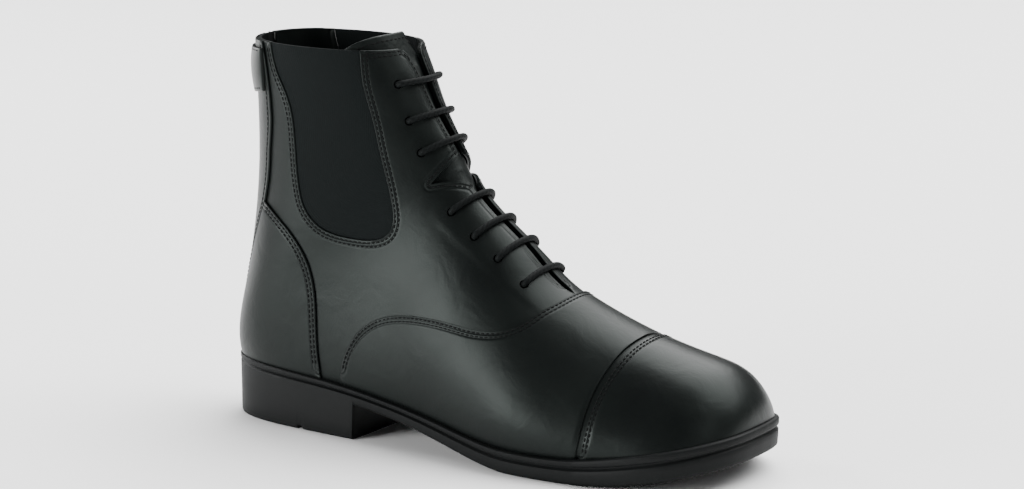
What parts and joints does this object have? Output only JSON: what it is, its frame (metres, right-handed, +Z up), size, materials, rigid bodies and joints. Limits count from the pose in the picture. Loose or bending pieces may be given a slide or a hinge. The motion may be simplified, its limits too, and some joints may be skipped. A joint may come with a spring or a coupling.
{
  "type": "lace-up riding boot",
  "caption": "Ankle-high black leather paddock boot with a laced front, capped toe, elastic side gores, back zip under a snap flap and a low-heeled rubber sole.",
  "frame": {"origin": "on the floor under the middle of the heel's seat, on the heel's flat tread", "axes": "+X toward the toe, +Y toward the medial side of this right boot, +Z up"},
  "size_m": [0.2982, 0.1065, 0.2041],
  "materials": {
    "quarter_leather": "semi-gloss smooth black",
    "vamp_leather": "semi-gloss smooth black",
    "cap_leather": "semi-gloss smooth black",
    "back_leather": "semi-gloss smooth black",
    "tongue_leather": "soft semi-matte black",
    "elastic": "matte ribbed black elastic",
    "lace_cord": "matte braided black",
    "zip_tape": "matte black",
    "sock_lining": "matte dark grey",
    "sole_rubber": "matte black"
  },
  "bodies": {
    "root": {"outsole": "sole_rubber", "insole": "sock_lining", "upper": "quarter_leather", "vamp": "vamp_leather", "toe_cap": "cap_leather", "counter_lateral": "back_leather", "counter_medial": "back_leather", "heel_patch": "back_leather", "back_strip_lateral": "back_leather", "back_strip_medial": "back_leather", "back_zip": "zip_tape", "snap_flap": "back_leather", "gore_lateral": "elastic", "gore_medial": "elastic", "tongue": "tongue_leather", "lace_bar_1": "lace_cord", "lace_bar_2": "lace_cord", "lace_bar_3": "lace_cord", "lace_bar_4": "lace_cord", "lace_bar_5": "lace_cord", "lace_bar_6": "lace_cord", "lace_bar_7": "lace_cord"}
  },
  "joints": []
}
